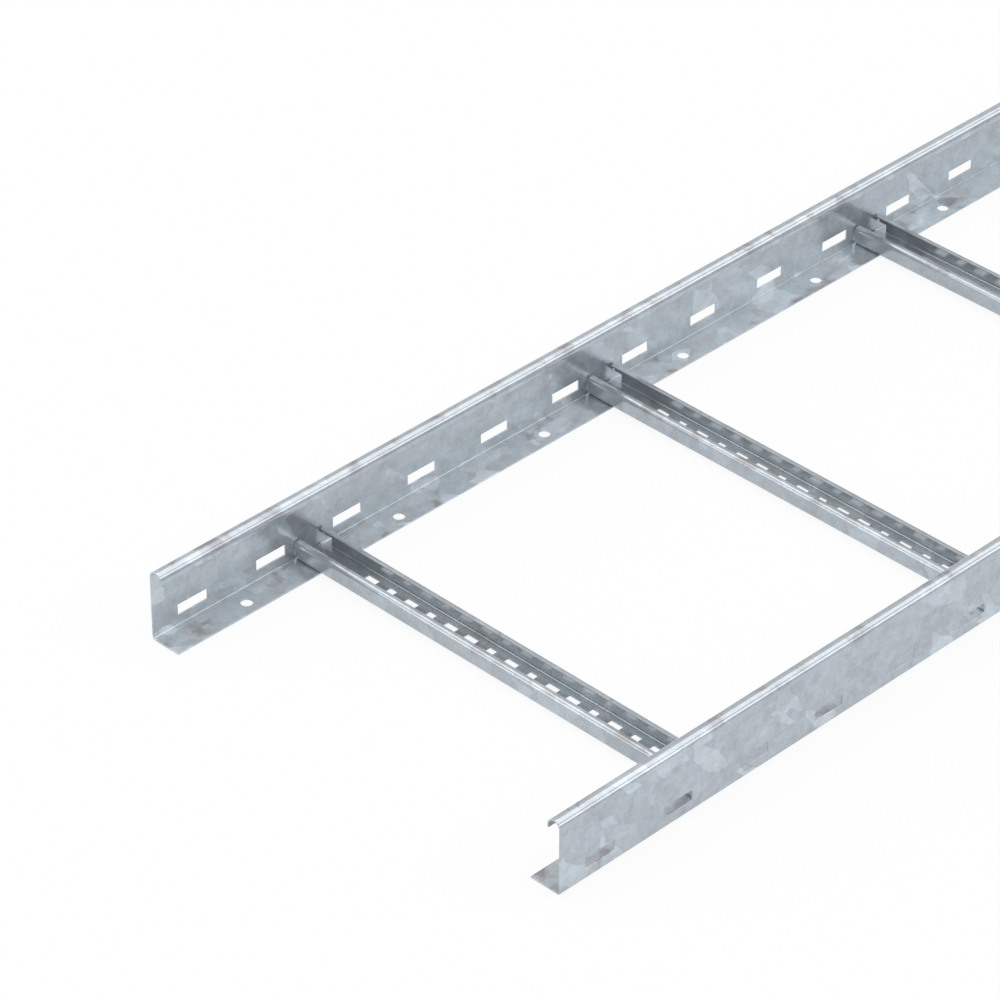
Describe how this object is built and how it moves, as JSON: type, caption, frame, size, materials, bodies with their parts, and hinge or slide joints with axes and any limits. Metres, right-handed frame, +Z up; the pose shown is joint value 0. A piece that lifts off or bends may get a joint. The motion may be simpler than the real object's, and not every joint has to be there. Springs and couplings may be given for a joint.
{
  "type": "cable ladder section",
  "caption": "Straight cable ladder section: roll-formed side rails with a curled top bead and slotted webs, joined by slotted C-shaped rungs that carry the cables.",
  "frame": {"origin": "middle of the footprint on the floor, halfway along the ladder and halfway between the side rails", "axes": "+X along the side rails, +Y across to the left side rail, +Z up out of the open side where cables lie"},
  "size_m": [3, 0.4, 0.06],
  "materials": {
    "rail_sheet": "galvanised sheet steel, smooth semi-gloss grey with faint mottling",
    "rung_sheet": "galvanised sheet steel, smooth semi-gloss grey with faint mottling"
  },
  "bodies": {
    "root": {"left_side_rail": "rail_sheet", "right_side_rail": "rail_sheet", "rung_01": "rung_sheet", "rung_02": "rung_sheet", "rung_03": "rung_sheet", "rung_04": "rung_sheet", "rung_05": "rung_sheet", "rung_06": "rung_sheet", "rung_07": "rung_sheet", "rung_08": "rung_sheet", "rung_09": "rung_sheet", "rung_10": "rung_sheet"}
  },
  "joints": []
}
